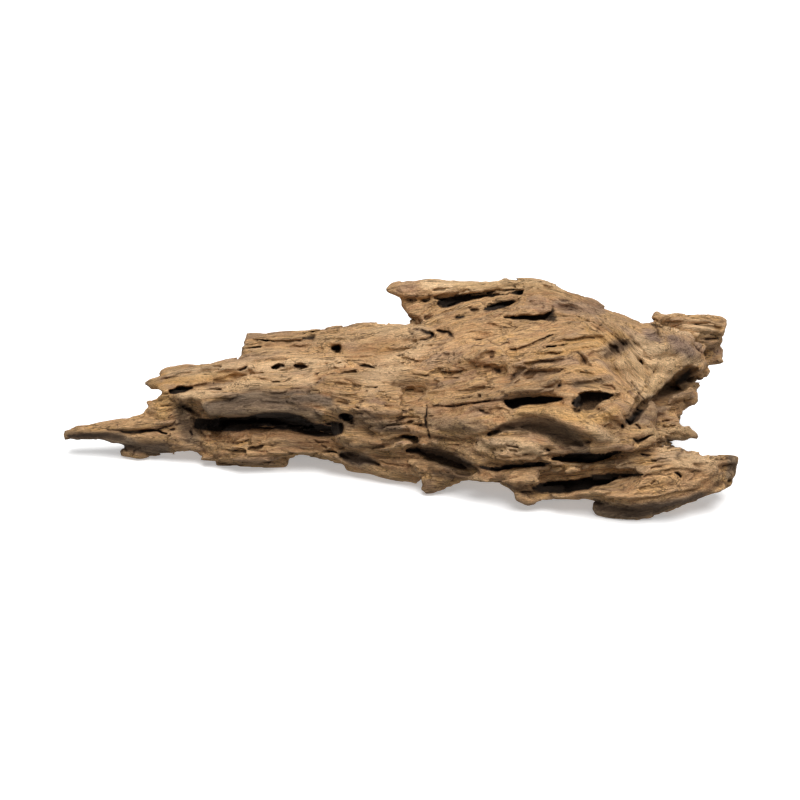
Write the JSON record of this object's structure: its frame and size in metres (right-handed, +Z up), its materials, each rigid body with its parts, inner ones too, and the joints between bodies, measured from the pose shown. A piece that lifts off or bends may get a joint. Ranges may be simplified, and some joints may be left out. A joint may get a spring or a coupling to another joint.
{
  "type": "honeycomb wood",
  "caption": "Weathered, hollowed piece of driftwood with a frayed pointed end, a broad butt, slots, bores and ledges along the grain, lying on its own low points.",
  "frame": {"origin": "middle of the bottom of the bounding box, at the level of the low points that the wood rests on", "axes": "+X along the grain from the frayed tip to the broad butt, +Z up, -Y towards the side that the picture shows"},
  "size_m": [0.4084, 0.1652, 0.0957],
  "materials": {
    "weathered_wood": "dry, matte, sun-bleached and water-worn heartwood with dark hollows"
  },
  "bodies": {
    "root": {"honeycomb_wood": "weathered_wood"}
  },
  "joints": []
}
